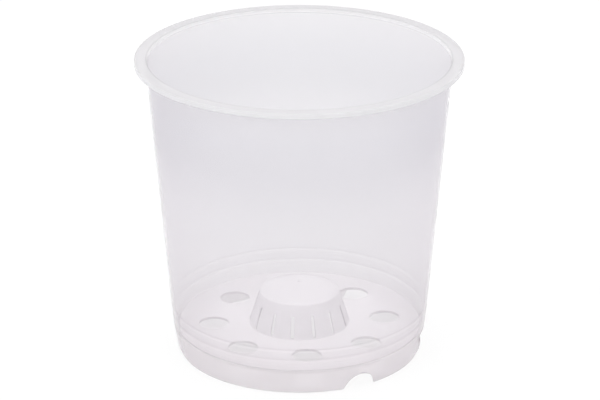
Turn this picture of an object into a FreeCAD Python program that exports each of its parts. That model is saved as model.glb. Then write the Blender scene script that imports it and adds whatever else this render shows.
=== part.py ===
import FreeCAD, Part
import math
import os

# Clear orchid pot: one thin moulding, divided at its natural lines into named sections.
# Millimetres and degrees, +Z up, origin at the middle of the foot's underside.

# Heights
pot_height = 141.7
floor_height = 11.2            # upper face of the raised floor
floor_thickness = 1.2
lower_ledge_rise = 6.05        # lower stacking ledge above the floor
band_height = 5.45             # lower ledge to upper ledge

# Outside of the pot, three tapers from the foot up
foot_radius = 56.8             # the foot's straight side, carried down to the ground
foot_draft = 9.5
band_draft = 6.45
wall_draft = 4.85

# Wall, thinnest at the top and one step thicker below each ledge
wall_thickness = 0.9
ledge_step = 0.3

# Foot
foot_chamfer_height = 2.25
foot_chamfer_depth = 0.65

# Rim, a flat flange with a lip turned down at its edge
rim_overhang = 4.9
rim_depth = 2.5
flange_thickness = 1.3
lip_thickness = 1.2
mouth_bevel = 0.6
rim_bevel = 0.5

# Floor
floor_bevel = 1.1              # where the floor runs into the wall
hole_count = 8
hole_diameter = 14.0
hole_circle_radius = 40.1
hole_turn = 5.0                # first hole, from +X

# Hollow cone in the middle of the floor, with a domed top
cone_base_radius = 23.5
cone_rise = 15.4               # floor to shoulder
cone_shoulder_radius = 18.6
cone_thickness = 1.0
cap_seat_drop = 2.4            # the cap's seat below the shoulder
shoulder_bevel = 1.0
dome_rise = 4.4
dome_steps = 2                 # straight steps that follow the dome
gate_radius = 0.9              # moulding gate on top of the dome
gate_height = 0.4

# Upright slots in the cone
slot_count = 14
slot_width = 1.6
slot_height = 10.0
slot_lift = 0.5                # floor to slot
slot_turn = -98.2

# Arches that let water and air out under the foot
arch_count = 3
arch_width = 16.0
arch_height = 6.9
arch_turn = -60.8

# Low side slot through the foot, its top closed behind by the floor's edge
side_slot_width = 30.0
side_slot_lift = 1.5
side_slot_height = 10.1
side_slot_round = 3.75
side_slot_turn = -4.0

cut_overrun = 1.0              # how far every cutter runs past the faces that it cuts
bevel_limit_share = 0.45       # largest bevel on a wall, as a share of the wall

# Heights that follow from the sizes above
floor_underside = floor_height - floor_thickness
lower_ledge = floor_height + lower_ledge_rise
upper_ledge = lower_ledge + band_height
flange_underside = pot_height - flange_thickness
lip_end = pot_height - rim_depth
shoulder_height = floor_height + cone_rise
cap_seat = shoulder_height - cap_seat_drop

# Thicknesses that follow
band_thickness = wall_thickness + ledge_step
foot_thickness = band_thickness + ledge_step

axis_foot = FreeCAD.Vector(0, 0, 0)
upward = FreeCAD.Vector(0, 0, 1)
outward = FreeCAD.Vector(1, 0, 0)
full_turn = 360


def at(radius, height):
    return FreeCAD.Vector(radius, 0, height)


def growth(rise, draft):
    return rise * math.tan(math.radians(draft))


def outside(height):
    """Outer radius of the pot at a height: the foot's, the band's and the wall's taper in turn."""
    radius = foot_radius + growth(min(height, floor_height), foot_draft)
    radius += growth(max(min(height, upper_ledge) - floor_height, 0), band_draft)
    return radius + growth(max(height - upper_ledge, 0), wall_draft)


def cone_outside(height):
    """Outer radius of the cone at a height between the floor and the shoulder."""
    narrowing = (cone_base_radius - cone_shoulder_radius) / cone_rise
    return cone_base_radius - (height - floor_height) * narrowing


def turned(corners):
    """Solid swept around the pot's axis by a closed outline of (corner, bevel) pairs."""
    points = []
    for index, (corner, bevel) in enumerate(corners):
        if bevel == 0:
            points.append(corner)
            continue
        back = (corners[index - 1][0] - corner).normalize()
        ahead = (corners[(index + 1) % len(corners)][0] - corner).normalize()
        points += [corner + back * bevel, corner + ahead * bevel]
    outline = Part.makePolygon(points + points[:1])
    return Part.Face(outline).revolve(axis_foot, upward, full_turn)


def plain(points):
    """The points as corners without a bevel."""
    return [(point, 0) for point in points]


def dome(radius, foot, rise):
    """Points in equal steps up a spherical dome, from its edge to the axis."""
    sphere_radius = (radius ** 2 + rise ** 2) / (2 * rise)
    edge_angle = math.asin(radius / sphere_radius)
    points = []
    for step in range(dome_steps):
        angle = edge_angle * (1 - step / dome_steps)
        drop = sphere_radius * (1 - math.cos(angle))
        points.append(at(sphere_radius * math.sin(angle), foot + rise - drop))
    return points + [at(0, foot + rise)]


def around(cutter, count, first_turn):
    """Copies of a cutter spread evenly around the pot's axis."""
    copies = []
    for index in range(count):
        copy = cutter.copy()
        copy.rotate(axis_foot, upward, first_turn + full_turn / count * index)
        copies.append(copy)
    return copies


def window(width, bottom, top, start, end):
    """Block across +X that cuts an upright window through a wall between two radii."""
    return Part.makeBox(end - start, width, top - bottom, FreeCAD.Vector(start, -width / 2, bottom))


def chord_depth(radius, width):
    """Distance from the axis to the middle of a chord of the given width."""
    return math.sqrt(radius ** 2 - (width / 2) ** 2)


def make_rim_flange():
    """Flat ring on top of the wall, bevelled at the mouth and along the outer edge."""
    wall_top = outside(pot_height)
    largest_bevel = flange_thickness * bevel_limit_share
    return turned([
        (at(outside(flange_underside) - wall_thickness, flange_underside), 0),
        (at(wall_top + rim_overhang, flange_underside), 0),
        (at(wall_top + rim_overhang, pot_height), min(rim_bevel, largest_bevel)),
        (at(wall_top - wall_thickness, pot_height), min(mouth_bevel, largest_bevel)),
    ])


def make_rim_lip():
    """Narrow ring that hangs from the flange's edge."""
    lip_outside = outside(pot_height) + rim_overhang
    return turned(plain([
        at(lip_outside - lip_thickness, lip_end),
        at(lip_outside, lip_end),
        at(lip_outside, flange_underside),
        at(lip_outside - lip_thickness, flange_underside),
    ]))


def make_wall_section(bottom, top, thickness):
    """Straight tapered ring of the pot's wall between two heights."""
    return turned(plain([
        at(outside(bottom) - thickness, bottom),
        at(outside(bottom), bottom),
        at(outside(top), top),
        at(outside(top) - thickness, top),
    ]))


def make_foot_skirt():
    """Wall from the ground to the lower ledge, with the arches and the low side slot."""
    skirt = turned(plain([
        at(foot_radius - foot_thickness, 0),
        at(foot_radius - foot_chamfer_depth, 0),
        at(outside(foot_chamfer_height), foot_chamfer_height),
        at(outside(floor_height), floor_height),
        at(outside(lower_ledge), lower_ledge),
        at(outside(lower_ledge) - foot_thickness, lower_ledge),
        at(outside(floor_height) - foot_thickness, floor_height),
    ]))
    inside = foot_radius - foot_thickness
    beyond = outside(lower_ledge) + cut_overrun
    arch_radius = ((arch_width / 2) ** 2 + arch_height ** 2) / (2 * arch_height)
    arch_start = chord_depth(inside, arch_width) - cut_overrun
    arch = Part.makeCylinder(arch_radius, beyond - arch_start, at(arch_start, arch_height - arch_radius), outward)
    slot_start = chord_depth(inside, side_slot_width) - cut_overrun
    slot_top = side_slot_lift + side_slot_height
    side_slot = window(side_slot_width, side_slot_lift, slot_top, slot_start, beyond)
    long_edges = [edge for edge in side_slot.Edges if edge.tangentAt(edge.FirstParameter).cross(outward).Length == 0]
    side_slot = side_slot.makeFillet(side_slot_round, long_edges)
    return skirt.cut(around(arch, arch_count, arch_turn) + around(side_slot, 1, side_slot_turn))


def make_drain_floor():
    """Holed plate inside the foot, bevelled up into the wall, open in the middle under the cone."""
    hub = cone_base_radius - cone_thickness
    bevel_top = floor_height + floor_bevel
    wall_inside = outside(bevel_top) - foot_thickness
    plate = turned(plain([
        at(hub, floor_underside),
        at(outside(floor_underside) - foot_thickness, floor_underside),
        at(outside(floor_height) - foot_thickness, floor_height),
        at(wall_inside, bevel_top),
        at(wall_inside - floor_bevel, floor_height),
        at(hub, floor_height),
    ]))
    hole_start = at(hole_circle_radius, floor_underside - cut_overrun)
    hole = Part.makeCylinder(hole_diameter / 2, floor_thickness + 2 * cut_overrun, hole_start, upward)
    return plate.cut(around(hole, hole_count, hole_turn))


def make_cone_wall():
    """Slotted side of the cone, standing on the inner edge of the floor."""
    wall = turned(plain([
        at(cone_base_radius - cone_thickness, floor_height),
        at(cone_base_radius, floor_height),
        at(cone_outside(cap_seat), cap_seat),
        at(cone_outside(cap_seat) - cone_thickness, cap_seat),
    ]))
    slot_bottom = floor_height + slot_lift
    slot_top = slot_bottom + slot_height
    slot_start = cone_outside(slot_top) - cone_thickness - cut_overrun
    slot = window(slot_width, slot_bottom, slot_top, slot_start, cone_base_radius + cut_overrun)
    return wall.cut(around(slot, slot_count, slot_turn))


def make_cone_cap():
    """Domed top of the cone with its bevelled shoulder and the gate mark."""
    inner_shoulder = shoulder_height - cone_thickness
    inner_radius = cone_outside(inner_shoulder) - cone_thickness
    dome_outside = dome(cone_shoulder_radius, shoulder_height, dome_rise)
    dome_inside = dome(inner_radius, inner_shoulder, dome_rise)
    top = shoulder_height + dome_rise
    corners = plain([at(cone_outside(cap_seat) - cone_thickness, cap_seat), at(cone_outside(cap_seat), cap_seat)])
    corners.append((dome_outside[0], shoulder_bevel))
    corners += plain(dome_outside[1:-1])
    corners += plain([at(gate_radius, top), at(gate_radius, top + gate_height), at(0, top + gate_height)])
    corners += plain(reversed(dome_inside))
    return turned(corners)


sections = {
    "rim_flange": make_rim_flange(),
    "rim_lip": make_rim_lip(),
    "upper_wall": make_wall_section(upper_ledge, flange_underside, wall_thickness),
    "ledge_band": make_wall_section(lower_ledge, upper_ledge, band_thickness),
    "foot_skirt": make_foot_skirt(),
    "drain_floor": make_drain_floor(),
    "cone_wall": make_cone_wall(),
    "cone_cap": make_cone_cap(),
}

os.makedirs("parts", exist_ok=True)
for name, shape in sections.items():
    shape.exportStep("parts/" + name + ".step")
    print(name, shape.ShapeType, "valid", shape.isValid(), "solids", len(shape.Solids), "volume", round(shape.Volume))
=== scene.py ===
import math

import bmesh
import bpy
import numpy as np
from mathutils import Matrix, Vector


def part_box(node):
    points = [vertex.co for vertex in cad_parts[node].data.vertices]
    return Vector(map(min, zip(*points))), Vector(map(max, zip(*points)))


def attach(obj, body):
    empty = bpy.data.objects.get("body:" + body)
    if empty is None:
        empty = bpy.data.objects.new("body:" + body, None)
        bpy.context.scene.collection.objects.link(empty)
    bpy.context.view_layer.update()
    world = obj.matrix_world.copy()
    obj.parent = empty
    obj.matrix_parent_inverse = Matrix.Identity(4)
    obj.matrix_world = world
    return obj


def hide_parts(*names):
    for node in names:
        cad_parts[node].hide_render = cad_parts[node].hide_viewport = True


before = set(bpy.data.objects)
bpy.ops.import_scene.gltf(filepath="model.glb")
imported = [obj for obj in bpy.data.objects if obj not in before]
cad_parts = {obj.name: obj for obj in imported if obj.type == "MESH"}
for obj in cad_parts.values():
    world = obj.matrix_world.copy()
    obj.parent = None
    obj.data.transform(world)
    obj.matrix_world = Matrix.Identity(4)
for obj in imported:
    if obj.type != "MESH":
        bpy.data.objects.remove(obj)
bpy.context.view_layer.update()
mm = 0.001
tiny = 1e-9                       # keeps divisions away from zero
print("frame loaded:", ", ".join(sorted(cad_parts)))


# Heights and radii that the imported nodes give

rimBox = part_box("rim_flange")
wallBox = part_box("upper_wall")
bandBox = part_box("ledge_band")
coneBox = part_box("cone_wall")
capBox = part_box("cone_cap")

potTop = rimBox[1].z
rimRadius = rimBox[1].x
flangeUnder = rimBox[0].z
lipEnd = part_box("rim_lip")[0].z
upperLedge = bandBox[1].z
lowerLedge = bandBox[0].z
floorTop = coneBox[0].z
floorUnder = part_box("drain_floor")[0].z
capTop = capBox[1].z


# The pot's walls, radius over height

shell = {
    "footRadius": 56.8 * mm,      # the foot's straight side carried down to the ground
    "footDraft": math.radians(9.5),
    "chamferHeight": 2.25 * mm,
    "chamferDepth": 0.65 * mm,
    "wall": 0.9 * mm,
    "ledgeStep": 0.3 * mm,        # the wall is this much thicker below each ledge
    "ledgeRound": 0.12 * mm,
    "floorFillet": 1.1 * mm,
    "mouthRound": 0.5 * mm,
    "rimRound": 0.55 * mm,
    "lipThickness": 1.2 * mm,
    "lipRound": 0.45 * mm,
    "underRimRound": 0.35 * mm,
    "underFloorRound": 0.3 * mm,
    "sharpAngle": math.radians(30),
}
footWall = shell["wall"] + 2 * shell["ledgeStep"]
footSlope = math.tan(shell["footDraft"])


def outerRadius(height):
    # straight lines between the knots of the chamfer, the foot's, the band's and the wall's taper
    foot = shell["footRadius"]
    knots = [0, shell["chamferHeight"], floorTop, upperLedge, flangeUnder]
    radii = [
        foot - shell["chamferDepth"],
        foot + shell["chamferHeight"] * footSlope,
        foot + floorTop * footSlope,
        bandBox[1].x,
        wallBox[1].x,
    ]
    rise = (radii[4] - radii[3]) / (knots[4] - knots[3])
    return np.interp(height, knots, radii) + np.maximum(np.asarray(height) - flangeUnder, 0) * rise


def skirtRadius(height):
    # inside of the foot under the floor: the foot's taper less its wall, with no chamfer
    return shell["footRadius"] - footWall + np.asarray(height) * footSlope


# The cone in the middle of the floor

cone = {
    "thickness": 1.0 * mm,
    "baseRound": 0.25 * mm,
    "shoulderRound": 1.6 * mm,
    "innerRound": 0.8 * mm,
    "domeRise": 4.4 * mm,
    "gateRadius": 0.9 * mm,
    "gateHeight": 0.4 * mm,
    "gateRound": 0.15 * mm,
}
coneSlope = (coneBox[1].x - capBox[1].x) / (capBox[0].z - floorTop)
shoulderHeight = capTop - cone["gateHeight"] - cone["domeRise"]


def coneOuter(height):
    # straight line in from the cone's base to its shoulder
    return coneBox[1].x - (np.asarray(height) - floorTop) * coneSlope


def coneInner(height):
    return coneOuter(height) - cone["thickness"]


def domePoints(edgeRadius, edgeHeight, startRadius, steps):
    # the sphere through the dome's edge and top, in equal angles from the start radius out to the edge
    rise = cone["domeRise"]
    sphere = (edgeRadius ** 2 + rise ** 2) / (2 * rise)
    turn = np.linspace(math.asin(startRadius / sphere), math.asin(edgeRadius / sphere), steps)
    return np.stack([sphere * np.sin(turn), edgeHeight + rise - sphere * (1 - np.cos(turn))], axis=1)


# Openings, each repeated evenly around the axis from its first one. Each takes up a block of the grid, some
# columns wide, and the grid lines bend over a margin of columns on either side of it.

coneSlot = {
    "count": 14,
    "first": math.radians(-98.2),
    "width": 1.6 * mm,
    "bottom": floorTop + 0.5 * mm,
    "top": floorTop + 10.5 * mm,
    "round": 0.3 * mm,
    "columns": 4,
    "margin": 6,
}
drain = {
    "count": 8,
    "first": math.radians(5),
    "radius": 7.0 * mm,
    "circle": 40.1 * mm,          # distance from the axis to a hole's middle
    "window": 2.2 * mm,           # the grid lines bend this far past a hole, in and out
    "columns": 14,
    "margin": 8,
}
arch = {
    "count": 3,
    "first": math.radians(-60.8),
    "width": 16.0 * mm,
    "height": 6.9 * mm,
    "sideShare": 0.23,            # share of the arc that each side of its block takes
    "block": (0, 5),              # rings above the ground
    "spans": [(0, 8), (0, 8)],    # rings that bend, outside and inside
    "columns": 12,
    "margin": 5,
}
sideSlot = {
    "count": 1,
    "first": math.radians(-4),
    "width": 30.0 * mm,
    "bottom": 1.5 * mm,
    "top": 11.6 * mm,             # outside
    "topInside": 9.4 * mm,        # inside, where the floor closes it
    "round": 3.75 * mm,
    "block": (2, 9),
    "spans": [(0, 12), (0, 10)],
    "columns": 26,
    "margin": 5,
}


# One outline of the whole moulding, from the middle of the dome over everything and back inside the cone

grid = {
    "columns": 336,               # 24 to each cone slot and 42 to each drain hole
    "slotRings": 12,
    "slotMargin": 4,              # rings that bend above a cone slot
    "slotMarginHeight": 2 * mm,
    "holeRings": 14,
    "holeMargin": 6,
    "wallRings": 5,
    "holdWidth": 0.5 * mm,        # from a bend in the wall to the ring that holds its shading
    "domeRings": 14,
    "innerDomeRings": 11,
    "innerDomeStart": 1.5 * mm,
}
columns = grid["columns"]
turnStep = 2 * math.pi / columns
footHeights = np.array([0, 1.1, 2.25, 3.2, 4.3, 5.3, 6.6, 8.0, 9.4, 10.3, 11.2, 12.1, 13.0, 14.5]) * mm
skirtHeights = np.array([0, 1.1, 2.25, 3.2, 4.3, 5.3, 6.3, 7.3, 8.3, 9.2]) * mm

corners = []                      # radius, height, rounding, steps on it and steps to the next corner
named = {}


def corner(radius, height, rounding=0, onRound=0, onward=1, name=None):
    if name:
        named[name] = len(corners)
    corners.append((float(radius), float(height), rounding, onRound, onward))


def straight(height, depth, onward=1, name=None):
    # a ring on the straight wall that keeps the shading of the bend beside it narrow
    corner(outerRadius(height) - depth, height, onward=onward, name=name)


def holeBands():
    # radii where the rings' spacing changes on either side of the drain holes
    block = drain["radius"] * math.sqrt(0.5)
    window = drain["radius"] + drain["window"]
    return [drain["circle"] + offset for offset in (-window, -block, block, window)]


def layCone():
    corner(0, capTop)
    corner(cone["gateRadius"], capTop, cone["gateRound"], 2)
    edge = float(coneOuter(shoulderHeight))
    dome = domePoints(edge, shoulderHeight, cone["gateRadius"], grid["domeRings"])
    for radius, height in dome[:-1]:
        corner(radius, height)
    corner(*dome[-1], cone["shoulderRound"], 6)
    over = coneSlot["top"] + grid["slotMarginHeight"]
    corner(coneOuter(over), over, onward=grid["slotMargin"])
    corner(coneOuter(coneSlot["top"]), coneSlot["top"], onward=grid["slotRings"])
    corner(coneOuter(coneSlot["bottom"]), coneSlot["bottom"], name="slotOuter")
    corner(coneBox[1].x, floorTop, cone["baseRound"], 2, onward=5)


def layFloor():
    inner, low, high, outer = holeBands()
    corner(inner, floorTop, onward=grid["holeMargin"], name="holeTop")
    corner(low, floorTop, onward=grid["holeRings"])
    corner(high, floorTop, onward=grid["holeMargin"])
    corner(outer, floorTop, onward=5)
    corner(outerRadius(floorTop) - footWall, floorTop, shell["floorFillet"], 5, onward=2, name="floorEnd")


def layInside():
    thickness = footWall
    straight(floorTop + 2 * shell["floorFillet"], thickness)
    for name, ledge in (("lowerLedge", lowerLedge), ("upperLedge", upperLedge)):
        straight(ledge - grid["holdWidth"], thickness)
        corner(outerRadius(ledge) - thickness, ledge, shell["ledgeRound"], 2, name=name + "Start")
        thickness -= shell["ledgeStep"]
        corner(outerRadius(ledge) - thickness, ledge, shell["ledgeRound"], 2, name=name + "End")
        straight(ledge + grid["holdWidth"], thickness, grid["wallRings"] if ledge == upperLedge else 1)
    straight(flangeUnder - grid["holdWidth"], thickness, name="rimStart")
    corner(outerRadius(potTop) - thickness, potTop, shell["mouthRound"], 5, onward=3)


def layRim():
    lipInside = rimRadius - shell["lipThickness"]
    corner(rimRadius, potTop, shell["rimRound"], 5, onward=3)
    corner(rimRadius, lipEnd, shell["lipRound"], 4)
    corner(lipInside, lipEnd, shell["lipRound"], 4)
    corner(lipInside, flangeUnder, shell["underRimRound"], 3, onward=2)
    corner(outerRadius(flangeUnder), flangeUnder, shell["underRimRound"], 3)
    straight(flangeUnder - 2 * grid["holdWidth"], 0, grid["wallRings"], name="rimEnd")


def layFoot():
    corner(outerRadius(upperLedge), upperLedge, onward=2)
    corner(outerRadius(lowerLedge), lowerLedge)
    for height in footHeights[:0:-1]:
        corner(outerRadius(height), height)
    corner(outerRadius(0), 0, name="footOuter")
    corner(skirtRadius(0), 0, name="footInner")
    for height in skirtHeights[1:]:
        corner(skirtRadius(height), height)
    corner(skirtRadius(floorUnder), floorUnder, shell["underFloorRound"], 2, onward=5)


def layUnderside():
    inner, low, high, outer = holeBands()
    corner(outer, floorUnder, onward=grid["holeMargin"])
    corner(high, floorUnder, onward=grid["holeRings"])
    corner(low, floorUnder, onward=grid["holeMargin"])
    corner(inner, floorUnder, onward=5, name="holeUnder")
    corner(coneInner(floorTop), floorUnder, cone["baseRound"], 2)
    corner(coneInner(coneSlot["bottom"]), coneSlot["bottom"], onward=grid["slotRings"], name="slotInner")
    over = coneSlot["top"] + grid["slotMarginHeight"]
    corner(coneInner(coneSlot["top"]), coneSlot["top"], onward=grid["slotMargin"])
    corner(coneInner(over), over)
    innerShoulder = shoulderHeight - cone["thickness"]
    edge = float(coneInner(innerShoulder))
    dome = domePoints(edge, innerShoulder, grid["innerDomeStart"], grid["innerDomeRings"])
    corner(*dome[-1], cone["innerRound"], 4)
    for radius, height in dome[-2::-1]:
        corner(radius, height)
    corner(0, innerShoulder + cone["domeRise"], onward=0)


def outlineRings():
    # each corner gives an arc tangent to both its sides, then even steps lead to the next corner's arc
    points = np.array([entry[:2] for entry in corners])
    arcs = []
    for index, (here, entry) in enumerate(zip(points, corners)):
        rounding, onRound = entry[2:4]
        if not onRound:
            arcs.append(here[None])
            continue
        back, ahead = points[index - 1] - here, points[index + 1] - here
        back, ahead = back / np.hypot(*back), ahead / np.hypot(*ahead)
        half = math.acos(back @ ahead) / 2
        middle = here + (back + ahead) / np.hypot(*(back + ahead)) * rounding / math.sin(half)
        setback = rounding / math.tan(half)
        first, last = here + back * setback - middle, here + ahead * setback - middle
        sweep, share = math.pi - 2 * half, np.linspace(0, 1, onRound + 1)[:, None]
        swung = np.sin((1 - share) * sweep) * first + np.sin(share * sweep) * last
        arcs.append(middle + swung / math.sin(sweep))
    blocks, starts, total = [], [], 0
    for index, arc in enumerate(arcs):
        share = np.linspace(0, 1, corners[index][4] + 1)[1:-1, None]
        following = arcs[min(index + 1, len(arcs) - 1)][0]
        blocks += [arc, arc[-1] + (following - arc[-1]) * share]
        starts.append(total)
        total += len(arc) + len(share)
    return np.concatenate(blocks), {name: starts[index] for name, index in named.items()}


for lay in (layCone, layFloor, layInside, layRim, layFoot, layUnderside):
    lay()
rings, ringOf = outlineRings()
ringCount = len(rings)
radii = np.repeat(rings[:, :1], columns, axis=1)
heights = np.repeat(rings[:, 1:], columns, axis=1)
turns = np.tile(coneSlot["first"] + turnStep * np.arange(columns), (ringCount, 1))
filled = np.ones((ringCount - 1, columns), bool)
reveals = []                      # faces that join the inner and outer sheet around each opening
print("outline laid:", ringCount, "rings of", columns)


# Outlines of the openings. Across runs from -1 to 1 and up from 0 to 1 over a square block of the grid.


def circleOutline(across, up, sheet):
    # the square is drawn in to the hole's circle; gives the distance from the axis and the turn
    side = 2 * up - 1
    size = np.maximum(np.hypot(across, side), tiny)
    x, y = across / size * drain["radius"], drain["circle"] + side / size * drain["radius"]
    return np.hypot(x, y), np.arctan2(x, y)


def windowOutline(kind, tops, walls):
    # a rectangle whose corners are drawn in to arcs; gives the height and the turn
    width, bottom, rounding = kind["width"], kind["bottom"], kind["round"]

    def outline(across, up, sheet):
        top = tops[sheet]
        middle, halfWidth, halfHeight = (bottom + top) / 2, width / 2, (top - bottom) / 2
        x, z = across * halfWidth, (2 * up - 1) * halfHeight
        pastX = np.maximum(np.abs(x) - halfWidth + rounding, 0)
        pastZ = np.maximum(np.abs(z) - halfHeight + rounding, 0)
        reach = np.maximum(np.hypot(pastX, pastZ), tiny)
        less = np.where((pastX > 0) & (pastZ > 0), 1 - rounding / reach, 0)
        x, z = x - np.sign(x) * pastX * less, middle + z - np.sign(z) * pastZ * less
        return z, np.arcsin(x / walls[sheet](z))

    return outline


def archOutline(across, up, sheet):
    # the block's sides and top are laid along the arch's arc, from its right foot to its left
    width, rise, side = arch["width"], arch["height"], arch["sideShare"]
    bend = (width ** 2 / 4 + rise ** 2) / (2 * rise)
    onTop = side + (1 - across) / 2 * (1 - 2 * side)
    onSide = np.where(across > 0, up * side, 1 - up * side)
    along = np.where(up >= np.abs(across) - tiny, onTop, onSide)
    foot = math.asin((bend - rise) / bend)
    swing = foot + along * (math.pi - 2 * foot)
    z = np.maximum(rise - bend + bend * np.sin(swing), 0)
    return z, np.arcsin(bend * np.cos(swing) / (outerRadius, skirtRadius)[sheet](z))


def blockLoop(block, first, width, grounded):
    # steps and columns once round a block of cells, or up, over and down again if it stands on the ground
    low, high = block
    rise, run = np.arange(low, high + 1), np.arange(first, first + width + 1)
    flat, upright = np.ones(width, int), np.ones(len(rise) - 1, int)
    if grounded:
        steps = [rise[:-1], high * flat, rise[::-1]]
        across = [run[0] * upright, run[:-1], run[-1] * np.ones(len(rise), int)]
    else:
        steps = [low * flat, rise[:-1], high * flat, rise[:0:-1], rise[:1]]
        across = [run[:-1], run[-1] * upright, run[:0:-1], run[0] * upright, run[:1]]
    return np.concatenate(steps), np.concatenate(across)


def punch(kind, outline, sheets, block, spans, walls=None):
    # draws the grid lines round each opening onto its outline on both sheets of the wall, leaves out the
    # cells inside and joins the sheets; steps count rings along a sheet, and a block at the start of its
    # span stands on the ground
    width, margin = kind["columns"], kind["margin"]
    low, high = block
    grounded = low == spans[0][0]
    along = heights if walls else radii
    for number in range(kind["count"]):
        middleTurn = kind["first"] + 2 * math.pi / kind["count"] * number
        first = round((middleTurn - coneSlot["first"]) / turnStep - width / 2)
        middle = first + width / 2
        loops = []
        for sheet, (start, direction) in enumerate(sheets):
            bottom, top = spans[sheet]
            steps = np.arange(bottom, top + 1)
            rows = start + direction * steps
            near = np.arange(first - margin, first + width + margin + 1)
            step, column = np.meshgrid(steps, near, indexing="ij")
            away = np.maximum((np.abs(column - middle) - width / 2) / margin, (step - high) / (top - high))
            if not grounded:
                away = np.maximum(away, (low - step) / (low - bottom))
            away = np.clip(away, 0, 1)
            blockLow, blockHigh = low - away * (low - bottom), high + away * (top - high)
            across = np.clip((column - middle) / (width / 2 + away * margin), -1, 1)
            up = np.clip((step - blockLow) / (blockHigh - blockLow), 0, 1)
            edge, edgeTurn = outline(across, up, sheet)
            far = np.interp(bottom + up * (top - bottom), steps, rings[rows, 1 if walls else 0])
            farTurn = coneSlot["first"] + turnStep * (middle + across * (width / 2 + margin))
            place = np.ix_(rows, column[0] % columns)
            along[place] = edge + (far - edge) * away
            turns[place] = (middleTurn + edgeTurn) * (1 - away) + farTurn * away
            if walls:
                radii[place] = np.where(away < 1, walls[sheet](along[place]), radii[place])
            inside = start + direction * np.arange(low, high) - (direction < 0)
            filled[np.ix_(inside, np.arange(first, first + width) % columns)] = False
            loopSteps, loopColumns = blockLoop(block, first, width, grounded)
            loops.append((start + direction * loopSteps) * columns + loopColumns % columns)
        if grounded:
            filled[sheets[0][0], np.arange(first, first + width) % columns] = False
        outer, inner = loops
        reveals.append(np.stack([outer[:-1], outer[1:], inner[1:], inner[:-1]], axis=1))


def punchAll():
    coneSheets = [(ringOf["slotOuter"], -1), (ringOf["slotInner"], 1)]
    floorSheets = [(ringOf["holeTop"], 1), (ringOf["holeUnder"], -1)]
    footSheets = [(ringOf["footOuter"], -1), (ringOf["footInner"], 1)]
    coneWalls, footWalls = [coneOuter, coneInner], [outerRadius, skirtRadius]
    slotEnd, margin = grid["slotRings"], grid["holeMargin"]
    holeEnd = margin + grid["holeRings"]
    slotTops, sideTops = [coneSlot["top"]] * 2, [sideSlot["top"], sideSlot["topInside"]]
    slotOutline = windowOutline(coneSlot, slotTops, coneWalls)
    sideOutline = windowOutline(sideSlot, sideTops, footWalls)
    slotSpans, holeSpans = [(-1, slotEnd + grid["slotMargin"])] * 2, [(0, holeEnd + margin)] * 2
    punch(coneSlot, slotOutline, coneSheets, (0, slotEnd), slotSpans, coneWalls)
    punch(drain, circleOutline, floorSheets, (margin, holeEnd), holeSpans)
    punch(arch, archOutline, footSheets, arch["block"], arch["spans"], footWalls)
    punch(sideSlot, sideOutline, footSheets, sideSlot["block"], sideSlot["spans"], footWalls)


def mouldingFaces():
    # a quad for each filled cell between rings, the faces round the openings and a fan at each pole; the
    # milky ones are the upper side of the cone and the floor, the ledges' shelves and all of the rim
    index = np.arange(ringCount * columns).reshape(ringCount, columns)
    onward = np.roll(index, -1, axis=1)
    cells = np.stack([index[:-1], onward[:-1], onward[1:], index[1:]], axis=2)[1:-1]
    ring = np.nonzero(filled[1:-1])[0] + 1
    milky = ring < ringOf["floorEnd"]
    for name in ("lowerLedge", "upperLedge", "rim"):
        milky |= (ring >= ringOf[name + "Start"]) & (ring < ringOf[name + "End"])
    sides = np.concatenate(reveals)
    top = np.stack([np.full(columns, index[0, 0]), onward[1], index[1]], axis=1)
    end = np.stack([np.full(columns, index[-1, 0]), index[-2], onward[-2]], axis=1)
    closing = np.repeat([False, True, False], [len(sides), len(top), len(end)])
    milky = np.concatenate([milky, closing])
    return np.concatenate([cells[filled[1:-1]], sides]), np.concatenate([top, end]), milky


def makeMoulding():
    # a point at a ring's radius and turn: x and y are the radius times the turn's cosine and sine
    quads, fans, milky = mouldingFaces()
    places = np.stack([radii * np.cos(turns), radii * np.sin(turns), heights], axis=2).reshape(-1, 3)
    used = np.unique(np.concatenate([quads.ravel(), fans.ravel()]))
    renumber = np.zeros(len(places), int)
    renumber[used] = np.arange(len(used))
    mesh = bpy.data.meshes.new("moulding")
    mesh.from_pydata(places[used], [], renumber[quads].tolist() + renumber[fans].tolist())
    work = bmesh.new()
    work.from_mesh(mesh)
    bmesh.ops.recalc_face_normals(work, faces=work.faces)
    work.to_mesh(mesh)
    work.free()
    mesh.polygons.foreach_set("use_smooth", np.ones(len(mesh.polygons), bool))
    mesh.polygons.foreach_set("material_index", milky.astype(np.int32))
    mesh.set_sharp_from_angle(angle=shell["sharpAngle"])
    moulding = bpy.data.objects.new("moulding", mesh)
    bpy.context.collection.objects.link(moulding)
    return moulding


punchAll()
moulding = makeMoulding()
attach(moulding, "root")
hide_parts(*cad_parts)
print("moulding made:", len(moulding.data.polygons), "faces")


# Clear polypropylene

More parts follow.
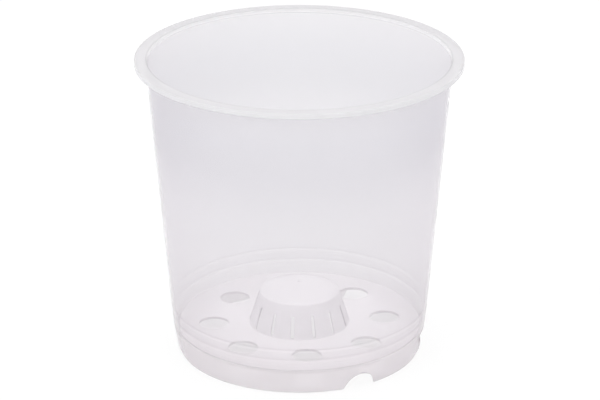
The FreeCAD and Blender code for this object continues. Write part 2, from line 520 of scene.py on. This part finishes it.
plastic = {
    "wallTintsAndShades": [                    # height in mm and the plastic's lavender colour, with painted light and shade by height: lighter at the foot's bottom and near 60 mm, darker near 10 mm and from 108 to 122 mm
        (0, (0.985, 0.955, 0.975)), (5, (0.952, 0.922, 0.944)), (10.5, (0.938, 0.905, 0.926)),
        (12, (0.945, 0.925, 0.940)), (30, (0.953, 0.941, 0.956)), (60, (0.974, 0.963, 0.980)),
        (84, (0.951, 0.942, 0.961)), (108, (0.894, 0.887, 0.912)), (122, (0.902, 0.896, 0.922)),
        (139, (0.939, 0.931, 0.951)),
    ],
    "ledgeHighlightsAndShades": [                  # height in mm and shade: painted highlight and shade lines where the ledges' steps catch and lose the light
        (14.1, 0.94), (14.7, 0.975), (15.4, 0.93), (16.6, 1.0), (17.2, 0.95), (17.7, 0.83), (18.3, 0.93),
        (21.2, 0.93), (21.8, 1.02), (22.3, 0.95), (22.9, 0.80), (23.3, 0.94),
    ],
    "clear": 0.75,                    # the rest scatters, as the milky haze of polypropylene does
    "edgeShade": (0.84, 0.815, 0.84),  # seen along the wall, through more of it
    "edgeReach": 0.2,
    "cloudShade": 0.985,              # where the plastic is a little hazier
    "roughness": 0.015,
    "hazeRoughness": 0.03,
    "ior": 1.06,
    "gloss": 0.2,
    "glossRoughness": 0.08,
    "waviness": 0.03,
    "waveHeight": 0.2 * mm,
    "waveScale": 40,
    "hazeScale": 14,
    "hazeDetail": 3,
}
milkyPlastic = {                      # the rim, the ledges, the floor and the cone
    "tintsAndShades": [                        # distance from the axis in mm and the milky plastic's pink-white colour, with painted shade on the cone's side, painted light on the mouth's inner face, a painted shade line at the mouth's edge, a painted highlight on the lip's outer rounding and painted shade on the lip's side
        (0, (0.968, 0.940, 0.956)), (18.2, (0.968, 0.940, 0.956)), (19, (0.930, 0.892, 0.922)),
        (23.2, (0.930, 0.892, 0.922)), (23.8, (0.993, 0.964, 0.982)), (60, (0.993, 0.964, 0.982)),
        (66, (1.0, 0.995, 1.0)), (69.2, (1.0, 0.995, 1.0)), (69.5, (0.77, 0.77, 0.78)),
        (69.9, (0.947, 0.935, 0.956)), (74.4, (0.947, 0.935, 0.956)), (74.6, (1.0, 0.995, 1.0)),
        (74.9, (0.79, 0.787, 0.80)),
    ],
    "rimShades": [(141.35, 1.0), (141.65, 0.70)],      # height in mm and painted shade, deeper on the flange's top
    "clear": 0.3,
    "edgeShade": (0.90, 0.89, 0.90),
    "edgeReach": 0.15,
}


def newMix(nodes, blend="MIX"):
    mix = nodes.new("ShaderNodeMix")
    mix.data_type, mix.blend_type = "RGBA", blend
    return mix


def rampAlong(nodes, links, along, stops):
    # colours between the first and the last stop of a length in mm
    low, high = stops[0][0] * mm, stops[-1][0] * mm
    share = nodes.new("ShaderNodeMapRange")
    share.inputs["From Min"].default_value, share.inputs["From Max"].default_value = low, high
    ramp = nodes.new("ShaderNodeValToRGB")
    elements = ramp.color_ramp.elements
    elements.remove(elements[1])
    for number, (length, color) in enumerate(stops):
        position = (length * mm - low) / (high - low)
        element = elements[0] if number == 0 else elements.new(position)
        element.position, element.color = position, (*np.broadcast_to(color, 3).tolist(), 1)
    links.new(along, share.inputs["Value"])
    links.new(share.outputs["Result"], ramp.inputs["Fac"])
    return ramp.outputs["Color"]


def bothRamps(nodes, links, first, firstStops, second, secondStops):
    both = newMix(nodes, "MULTIPLY")
    both.inputs["Factor"].default_value = 1
    links.new(rampAlong(nodes, links, first, firstStops), both.inputs["A"])
    links.new(rampAlong(nodes, links, second, secondStops), both.inputs["B"])
    return both.outputs["Result"]


# the plastic's colour with painted light and shade by height, times the painted highlight and shade lines
# of the ledges
def wallTintAndShade(nodes, links, surface):
    height = surface.outputs["Height"]
    return bothRamps(nodes, links, height, plastic["wallTintsAndShades"], height, plastic["ledgeHighlightsAndShades"])


# the milky plastic's colour with painted light and shade by distance from the axis, times the painted shade
# on the flange's top
def milkyTintAndShade(nodes, links, surface):
    distance, height = surface.outputs["Distance"], surface.outputs["Height"]
    return bothRamps(nodes, links, distance, milkyPlastic["tintsAndShades"], height, milkyPlastic["rimShades"])


def makeMouldedSurface():
    # what both materials share: the slow drift of haze, the mould's slight waviness, the height and the
    # distance from the axis, which is the length of the place with its height left out
    group = bpy.data.node_groups.new("mouldedSurface", "ShaderNodeTree")
    for name, kind in (("Haze", "Float"), ("Normal", "Vector"), ("Height", "Float"), ("Distance", "Float")):
        group.interface.new_socket(name, in_out="OUTPUT", socket_type="NodeSocket" + kind)
    nodes, links = group.nodes, group.links
    out = nodes.new("NodeGroupOutput")
    place = nodes.new("ShaderNodeTexCoord").outputs["Object"]
    cloud = nodes.new("ShaderNodeTexNoise")
    cloud.inputs["Scale"].default_value = plastic["hazeScale"]
    cloud.inputs["Detail"].default_value = plastic["hazeDetail"]
    wave = nodes.new("ShaderNodeTexNoise")
    wave.inputs["Scale"].default_value = plastic["waveScale"]
    bump = nodes.new("ShaderNodeBump")
    bump.inputs["Strength"].default_value = plastic["waviness"]
    bump.inputs["Distance"].default_value = plastic["waveHeight"]
    parts = nodes.new("ShaderNodeSeparateXYZ")
    flat = nodes.new("ShaderNodeVectorMath")
    flat.operation = "MULTIPLY"
    flat.inputs[1].default_value = (1, 1, 0)
    distance = nodes.new("ShaderNodeVectorMath")
    distance.operation = "LENGTH"
    for node in (cloud, wave, parts):
        links.new(place, node.inputs["Vector"])
    links.new(wave.outputs["Fac"], bump.inputs["Height"])
    links.new(place, flat.inputs[0])
    links.new(flat.outputs["Vector"], distance.inputs[0])
    links.new(cloud.outputs["Fac"], out.inputs["Haze"])
    links.new(bump.outputs["Normal"], out.inputs["Normal"])
    links.new(parts.outputs["Z"], out.inputs["Height"])
    links.new(distance.outputs["Value"], out.inputs["Distance"])
    return group


mouldedSurface = makeMouldedSurface()


def makePlastic(name, looks, tintAndShade):
    material = bpy.data.materials.new(name)
    material.use_nodes = True
    nodes, links = material.node_tree.nodes, material.node_tree.links
    shader = nodes["Principled BSDF"]
    shader.inputs["Transmission Weight"].default_value = looks["clear"]
    shader.inputs["IOR"].default_value = plastic["ior"]
    shader.inputs["Metallic"].default_value = 0
    shader.inputs["Coat Weight"].default_value = plastic["gloss"]
    shader.inputs["Coat Roughness"].default_value = plastic["glossRoughness"]
    surface = nodes.new("ShaderNodeGroup")
    surface.node_tree = mouldedSurface
    haze = newMix(nodes, "MULTIPLY")
    haze.inputs["B"].default_value = (plastic["cloudShade"],) * 3 + (1,)
    facing = nodes.new("ShaderNodeLayerWeight")
    facing.inputs["Blend"].default_value = looks["edgeReach"]
    edge = newMix(nodes, "MULTIPLY")
    edge.inputs["B"].default_value = (*looks["edgeShade"], 1)
    gloss = nodes.new("ShaderNodeMapRange")
    gloss.inputs["To Min"].default_value = plastic["roughness"]
    gloss.inputs["To Max"].default_value = plastic["hazeRoughness"]
    # the colour given carries painted light and shade as well as the plastic's own colour
    links.new(tintAndShade(nodes, links, surface), haze.inputs["A"])
    links.new(surface.outputs["Haze"], haze.inputs["Factor"])
    links.new(haze.outputs["Result"], edge.inputs["A"])
    links.new(facing.outputs["Facing"], edge.inputs["Factor"])
    links.new(surface.outputs["Haze"], gloss.inputs["Value"])
    links.new(edge.outputs["Result"], shader.inputs["Base Color"])
    links.new(gloss.outputs["Result"], shader.inputs["Roughness"])
    links.new(surface.outputs["Normal"], shader.inputs["Normal"])
    return material


moulding.data.materials.append(makePlastic("clearPlastic", plastic, wallTintAndShade))
moulding.data.materials.append(makePlastic("milkyPlastic", milkyPlastic, milkyTintAndShade))
print("materials made")


# Floor, light and camera

studio = {
    "floorSize": 12,
    "floorColor": (0.96, 0.96, 0.96),
    "shownWhite": 0.88,           # share of the floor seen by the camera that is plain white, not lit
    "whiteThrough": 0.60,         # the same share where it is seen through the plastic or reflected
    "world": 0.92,
}
softboxes = {
    "topSoftbox": {"place": (-0.1, 0.1, 2.0), "size": 1.2, "power": 16.0},
    "leftSoftbox": {"place": (-0.9, -0.9, 1.3), "size": 0.9, "power": 4.0},
    "rightSoftbox": {"place": (1.1, -0.5, 1.1), "size": 0.9, "power": 2.4},
}
view = {                          # the photograph's: a long lens a little above the pot
    "distance": 1.4167,
    "rise": math.radians(21.985),
    "aimHeight": 71.65 * mm,
    "lens": 184.0,
    "sensor": 36,
    "shift": 0.0011,              # puts the pot's axis just left of the middle
    "nearest": 0.05,
    "farthest": 50,
}


def seenRays(nodes, links, direct, through):
    # the first value for the camera's own rays, the second for reflections and rays through the plastic
    path = nodes.new("ShaderNodeLightPath")
    glassy = nodes.new("ShaderNodeMath")
    glassy.operation = "MAXIMUM"
    links.new(path.outputs["Is Glossy Ray"], glassy.inputs[0])
    links.new(path.outputs["Is Transmission Ray"], glassy.inputs[1])
    indirect = nodes.new("ShaderNodeMath")
    indirect.operation = "MULTIPLY"
    indirect.inputs[1].default_value = through
    links.new(glassy.outputs["Value"], indirect.inputs[0])
    ownRays = nodes.new("ShaderNodeMath")
    ownRays.operation = "MULTIPLY"
    ownRays.inputs[1].default_value = direct
    links.new(path.outputs["Is Camera Ray"], ownRays.inputs[0])
    every = nodes.new("ShaderNodeMath")
    every.operation = "MAXIMUM"
    links.new(ownRays.outputs["Value"], every.inputs[0])
    links.new(indirect.outputs["Value"], every.inputs[1])
    return every.outputs["Value"]


def makeFloor():
    bpy.ops.mesh.primitive_plane_add(size=studio["floorSize"])
    floor = bpy.context.object
    floor.name = "studioFloor"
    material = bpy.data.materials.new("studioFloor")
    material.use_nodes = True
    nodes, links = material.node_tree.nodes, material.node_tree.links
    shader, output = nodes["Principled BSDF"], nodes["Material Output"]
    shader.inputs["Base Color"].default_value = (*studio["floorColor"], 1)
    shader.inputs["Roughness"].default_value = 1
    shader.inputs["Specular IOR Level"].default_value = 0
    white = nodes.new("ShaderNodeEmission")
    blend = nodes.new("ShaderNodeMixShader")
    links.new(seenRays(nodes, links, studio["shownWhite"], studio["whiteThrough"]), blend.inputs["Fac"])
    links.new(shader.outputs["BSDF"], blend.inputs[1])
    links.new(white.outputs["Emission"], blend.inputs[2])
    links.new(blend.outputs["Shader"], output.inputs["Surface"])
    floor.data.materials.append(material)


def makeWorld():
    world = bpy.data.worlds.new("studio")
    bpy.context.scene.world = world
    world.use_nodes = True
    nodes, links = world.node_tree.nodes, world.node_tree.links
    background, output = nodes["Background"], nodes["World Output"]
    background.inputs["Color"].default_value = (1, 1, 1, 1)
    background.inputs["Strength"].default_value = studio["world"]
    white = nodes.new("ShaderNodeBackground")
    white.inputs["Color"].default_value = (1, 1, 1, 1)
    blend = nodes.new("ShaderNodeMixShader")
    links.new(seenRays(nodes, links, 1, 1), blend.inputs["Fac"])
    links.new(background.outputs["Background"], blend.inputs[1])
    links.new(white.outputs["Background"], blend.inputs[2])
    links.new(blend.outputs["Shader"], output.inputs["Surface"])


def makeSoftbox(name, place, size, power):
    light = bpy.data.lights.new(name, "AREA")
    light.shape, light.size, light.energy = "SQUARE", size, power
    lamp = bpy.data.objects.new(name, light)
    lamp.location = place
    toPot = Vector((0, 0, potTop / 2)) - Vector(place)
    lamp.rotation_euler = toPot.to_track_quat("-Z", "Y").to_euler()
    bpy.context.collection.objects.link(lamp)


def makeCamera():
    camera = bpy.data.objects.new("camera", bpy.data.cameras.new("camera"))
    back = Vector((0, -math.cos(view["rise"]), math.sin(view["rise"])))
    camera.location = Vector((0, 0, view["aimHeight"])) + back * view["distance"]
    camera.rotation_euler = back.to_track_quat("Z", "Y").to_euler()
    camera.data.lens = view["lens"]
    camera.data.sensor_width = view["sensor"]
    camera.data.shift_x = view["shift"]
    camera.data.clip_start, camera.data.clip_end = view["nearest"], view["farthest"]
    bpy.context.collection.objects.link(camera)
    bpy.context.scene.camera = camera


makeFloor()
makeWorld()
for name, looks in softboxes.items():
    makeSoftbox(name, **looks)
makeCamera()
bpy.context.scene.view_settings.view_transform = "Standard"
print("studio made")
